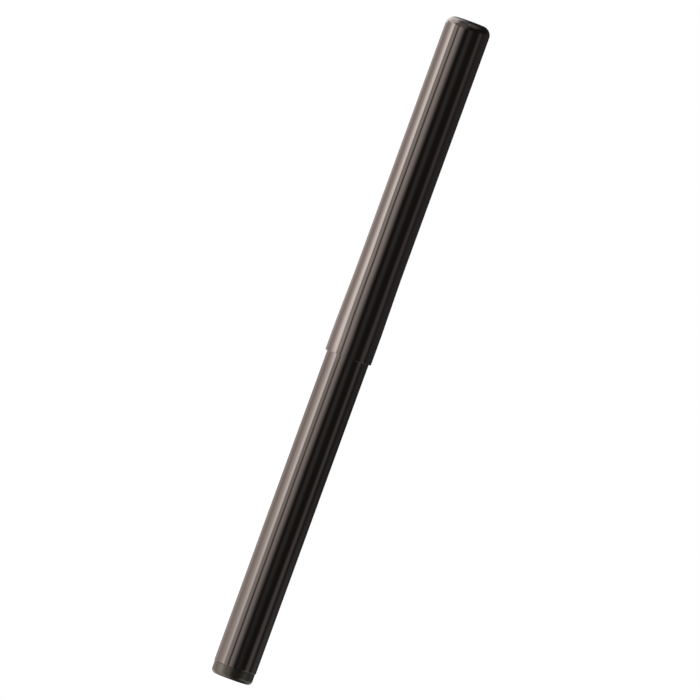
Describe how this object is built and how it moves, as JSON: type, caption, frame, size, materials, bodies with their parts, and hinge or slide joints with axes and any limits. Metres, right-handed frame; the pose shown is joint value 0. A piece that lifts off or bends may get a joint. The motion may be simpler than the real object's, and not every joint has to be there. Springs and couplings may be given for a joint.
{
  "type": "pressurized ballpoint pen",
  "caption": "Slim round capped ballpoint pen in gloss black metal, with a pull-off cap, screw-on front section and pressurized cartridge.",
  "frame": {"origin": "middle of the tail plug's flat end face, on which the pen stands", "axes": "+Z along the pen's axis from the tail to the closed end of the cap; X and Y are any two cross directions of this round object"},
  "size_m": [0.0082, 0.0082, 0.1175],
  "materials": {
    "gloss_black_metal": "gloss warm-black vapour-deposited coating on turned brass",
    "satin_black_metal": "satin black coating on turned brass",
    "spring_steel": "drawn spring wire",
    "grey_polymer": "satin moulded plastic",
    "stainless_steel": "drawn and turned, fine brushing along the axis",
    "brass": "fine turned",
    "ink": "thick paste",
    "carbide": "ground and polished",
    "black_rubber": "matte moulded rubber",
    "black_polymer": "smooth moulded plastic"
  },
  "bodies": {
    "barrel": {"barrel_tube": "gloss_black_metal", "tail_plug": "satin_black_metal", "refill_spring": "spring_steel"},
    "cartridge": {"refill_adapter": "grey_polymer", "cartridge_tube": "stainless_steel", "cartridge_end_plug": "brass", "ink_column": "ink", "point_holder": "brass", "writing_point": "stainless_steel"},
    "float": {"sliding_float": "grey_polymer"},
    "ball": {"writing_ball": "carbide"},
    "section": {"section_coupler": "brass", "section_o_ring": "black_rubber", "section_grip": "gloss_black_metal", "nose_cone": "satin_black_metal"},
    "cap": {"cap_shell": "gloss_black_metal", "cap_liner": "black_polymer"}
  },
  "joints": [
    {"name": "cap_pull", "type": "slide", "parent": "barrel", "child": "cap", "axis": [0, 0, 1], "range_m": [0, 0.06]},
    {"name": "refill_advance", "type": "slide", "parent": "barrel", "child": "cartridge", "axis": [0, 0, 1], "range_m": [0, 0.003], "deforming": ["refill_spring"]},
    {"name": "section_unscrew", "type": "hinge", "parent": "cartridge", "child": "section", "pos_m": [0, 0, 0.063], "axis": [0, 0, 1], "range_deg": [0, 1800]},
    {"name": "float_slide", "type": "slide", "parent": "cartridge", "child": "float", "axis": [0, 0, 1], "range_m": [0, 0.038], "deforming": ["ink_column"]},
    {"name": "ball_roll", "type": "hinge", "parent": "cartridge", "child": "ball", "pos_m": [0, 0, 0.1125], "axis": [1, 0, 0], "continuous": true}
  ],
  "couplings": [
    {"joint": "section_unscrew", "follows": "refill_advance", "rad_per_m": 10472}
  ]
}
